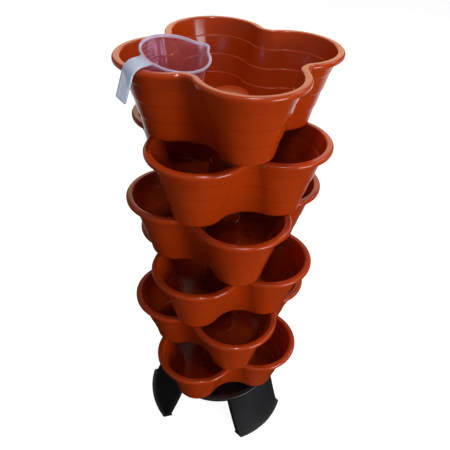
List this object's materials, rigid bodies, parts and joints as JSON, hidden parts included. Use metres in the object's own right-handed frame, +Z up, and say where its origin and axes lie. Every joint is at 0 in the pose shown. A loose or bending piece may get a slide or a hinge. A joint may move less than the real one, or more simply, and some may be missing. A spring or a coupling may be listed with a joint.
{
  "type": "vertical planter tower",
  "caption": "Tower of stacked four-lobed planting pots, each turned against the one below, on a ring stand with splayed legs, and a measuring jug hooked on the top rim.",
  "frame": {"origin": "on the ground, on the tower's axis, under the middle of the stand", "axes": "+Z up along the tower's axis; +X and +Y along the lobes of the second, fourth and sixth pots from the bottom"},
  "size_m": [0.3423, 0.34, 0.8238],
  "materials": {
    "pot_plastic": "terracotta-coloured polypropylene, moulded, semi-gloss",
    "stand_plastic": "black polypropylene, moulded, semi-gloss",
    "jug_plastic": "translucent lilac polypropylene, moulded, gloss"
  },
  "bodies": {
    "stand": {"stand_ring": "stand_plastic", "leg_1": "stand_plastic", "leg_2": "stand_plastic", "leg_3": "stand_plastic"},
    "pot_1_body": {"pot_1": "pot_plastic"},
    "pot_2_body": {"pot_2": "pot_plastic"},
    "pot_3_body": {"pot_3": "pot_plastic"},
    "pot_4_body": {"pot_4": "pot_plastic"},
    "pot_5_body": {"pot_5": "pot_plastic"},
    "pot_6_body": {"pot_6": "pot_plastic"},
    "jug_body": {"measuring_jug": "jug_plastic"}
  },
  "joints": [
    {"name": "stack_turn", "type": "hinge", "parent": "stand", "child": "pot_1_body", "pos_m": [0, 0, 0.106], "axis": [0, 0, 1], "continuous": true},
    {"name": "pot_2_lift", "type": "slide", "parent": "pot_1_body", "child": "pot_2_body", "axis": [0, 0, 1], "range_m": [0, 0.15]},
    {"name": "pot_3_lift", "type": "slide", "parent": "pot_2_body", "child": "pot_3_body", "axis": [0, 0, 1], "range_m": [0, 0.15]},
    {"name": "pot_4_lift", "type": "slide", "parent": "pot_3_body", "child": "pot_4_body", "axis": [0, 0, 1], "range_m": [0, 0.15]},
    {"name": "pot_5_lift", "type": "slide", "parent": "pot_4_body", "child": "pot_5_body", "axis": [0, 0, 1], "range_m": [0, 0.15]},
    {"name": "pot_6_lift", "type": "slide", "parent": "pot_5_body", "child": "pot_6_body", "axis": [0, 0, 1], "range_m": [0, 0.15]},
    {"name": "jug_lift", "type": "slide", "parent": "pot_6_body", "child": "jug_body", "axis": [0, 0, 1], "range_m": [0, 0.13]}
  ]
}
